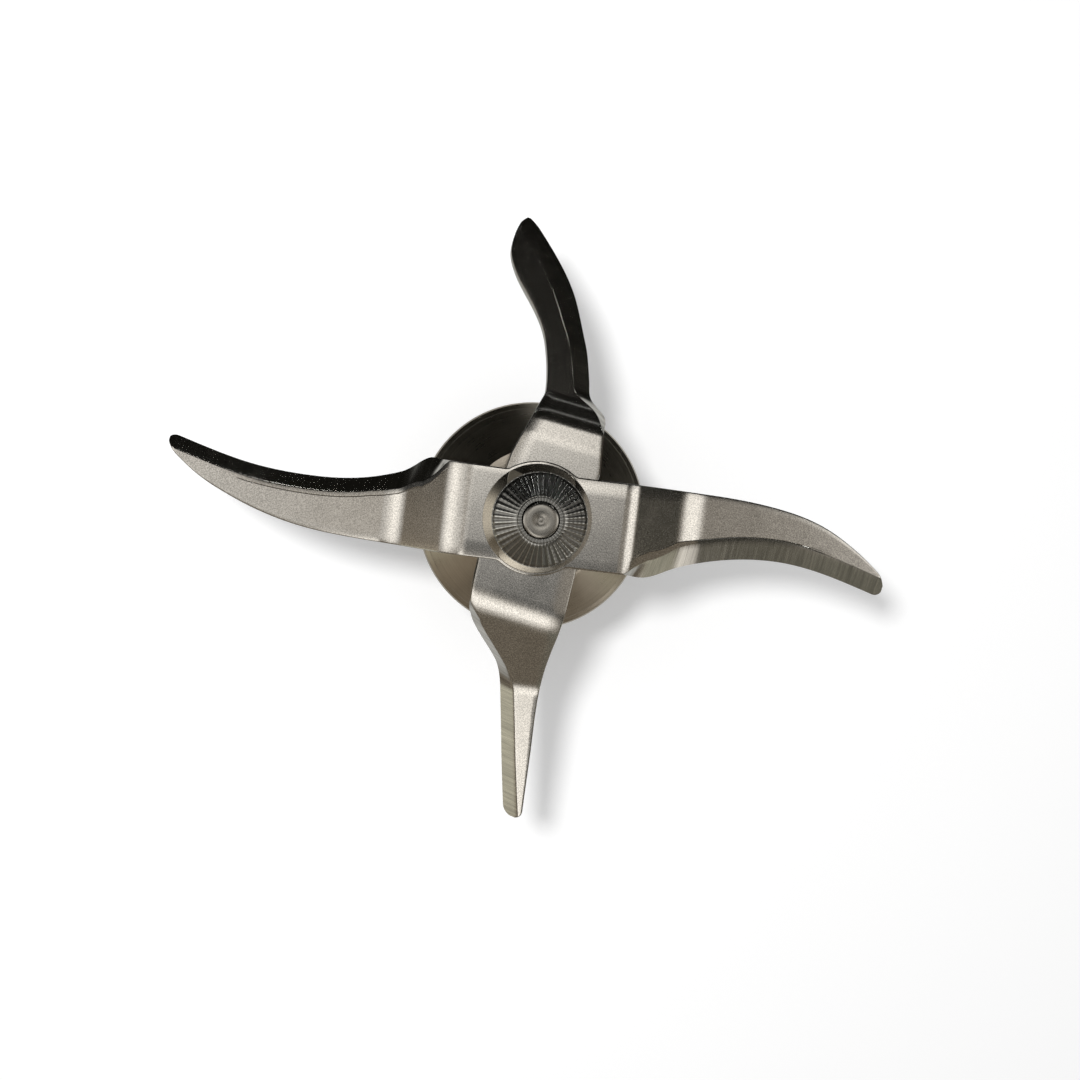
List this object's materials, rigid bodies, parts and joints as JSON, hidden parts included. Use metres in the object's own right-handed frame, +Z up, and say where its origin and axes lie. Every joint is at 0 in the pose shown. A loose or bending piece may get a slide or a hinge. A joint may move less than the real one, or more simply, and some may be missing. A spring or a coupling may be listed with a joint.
{
  "type": "food processor blade",
  "caption": "Cooking food processor knife: crossed folded steel blades under a ribbed cap, on a shaft that turns in a bell-shaped bearing housing with a lobed drive coupling.",
  "frame": {"origin": "on the spin axis, in the plane of the bearing housing's foot", "axes": "+Z up the spin axis towards the ribbed cap, +X along one of the two long arms"},
  "size_m": [0.1324, 0.1095, 0.0527],
  "materials": {
    "housing_steel": "turned, satin",
    "gasket_rubber": "matt",
    "seal_case_steel": "pressed",
    "seal_rubber": "matt",
    "spacer_steel": "turned",
    "bearing_steel": "ground",
    "cage_brass": "pressed",
    "spring_steel": "phosphated",
    "collar_steel": "turned",
    "blade_steel": "ground, fine matt grain",
    "cap_steel": "polished",
    "shaft_steel": "turned",
    "coupling_steel": "sintered"
  },
  "bodies": {
    "housing": {"bearing_housing": "housing_steel", "housing_gasket": "gasket_rubber", "shaft_seal_case": "seal_case_steel", "shaft_seal_lip": "seal_rubber", "outer_spacer": "spacer_steel", "upper_bearing_outer_ring": "bearing_steel", "lower_bearing_outer_ring": "bearing_steel", "housing_circlip": "spring_steel"},
    "rotor": {"blade_cap": "cap_steel", "upper_blade": "blade_steel", "lower_blade": "blade_steel", "hub_collar": "collar_steel", "drive_shaft": "shaft_steel", "inner_spacer": "spacer_steel", "upper_bearing_inner_ring": "bearing_steel", "lower_bearing_inner_ring": "bearing_steel", "shaft_retaining_ring": "spring_steel", "drive_coupling": "coupling_steel"},
    "upper_balls": {"upper_bearing_cage": "cage_brass", "upper_ball_1": "bearing_steel", "upper_ball_2": "bearing_steel", "upper_ball_3": "bearing_steel", "upper_ball_4": "bearing_steel", "upper_ball_5": "bearing_steel", "upper_ball_6": "bearing_steel", "upper_ball_7": "bearing_steel"},
    "lower_balls": {"lower_bearing_cage": "cage_brass", "lower_ball_1": "bearing_steel", "lower_ball_2": "bearing_steel", "lower_ball_3": "bearing_steel", "lower_ball_4": "bearing_steel", "lower_ball_5": "bearing_steel", "lower_ball_6": "bearing_steel", "lower_ball_7": "bearing_steel"}
  },
  "joints": [
    {"name": "knife_spin", "type": "hinge", "parent": "housing", "child": "rotor", "pos_m": [0, 0, 0.0407], "axis": [0, 0, 1], "continuous": true},
    {"name": "upper_cage_spin", "type": "hinge", "parent": "housing", "child": "upper_balls", "pos_m": [0, 0, 0.0271], "axis": [0, 0, 1], "continuous": true},
    {"name": "lower_cage_spin", "type": "hinge", "parent": "housing", "child": "lower_balls", "pos_m": [0, 0, 0.0145], "axis": [0, 0, 1], "continuous": true}
  ],
  "couplings": [
    {"joint": "upper_cage_spin", "follows": "knife_spin", "ratio": 0.36667},
    {"joint": "lower_cage_spin", "follows": "knife_spin", "ratio": 0.36667}
  ]
}
